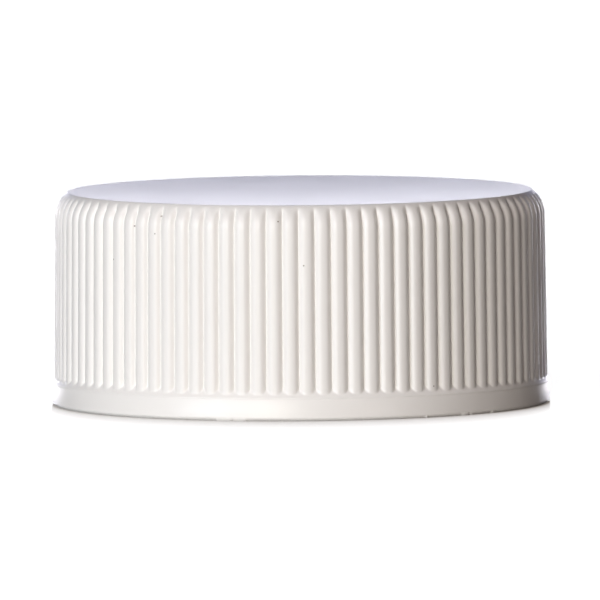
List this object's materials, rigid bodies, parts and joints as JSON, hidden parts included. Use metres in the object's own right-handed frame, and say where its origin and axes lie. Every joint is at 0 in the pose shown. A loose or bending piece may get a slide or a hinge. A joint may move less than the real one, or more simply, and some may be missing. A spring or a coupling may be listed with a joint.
{
  "type": "continuous thread cap",
  "caption": "Ribbed screw cap with an inner continuous thread, a plain band round its open rim, a slightly sunk flat top and a foam liner disc.",
  "frame": {"origin": "centre of the open rim's plane, which the cap stands on", "axes": "+Z along the cap's axis from the open rim to the closed top; -Y is the side nearest the camera"},
  "size_m": [0.0268, 0.0268, 0.0115],
  "materials": {
    "white_polypropylene": "satin",
    "foam_polyethylene": "matt, fine-celled"
  },
  "bodies": {
    "root": {"cap_shell": "white_polypropylene", "foam_liner": "foam_polyethylene"}
  },
  "joints": []
}
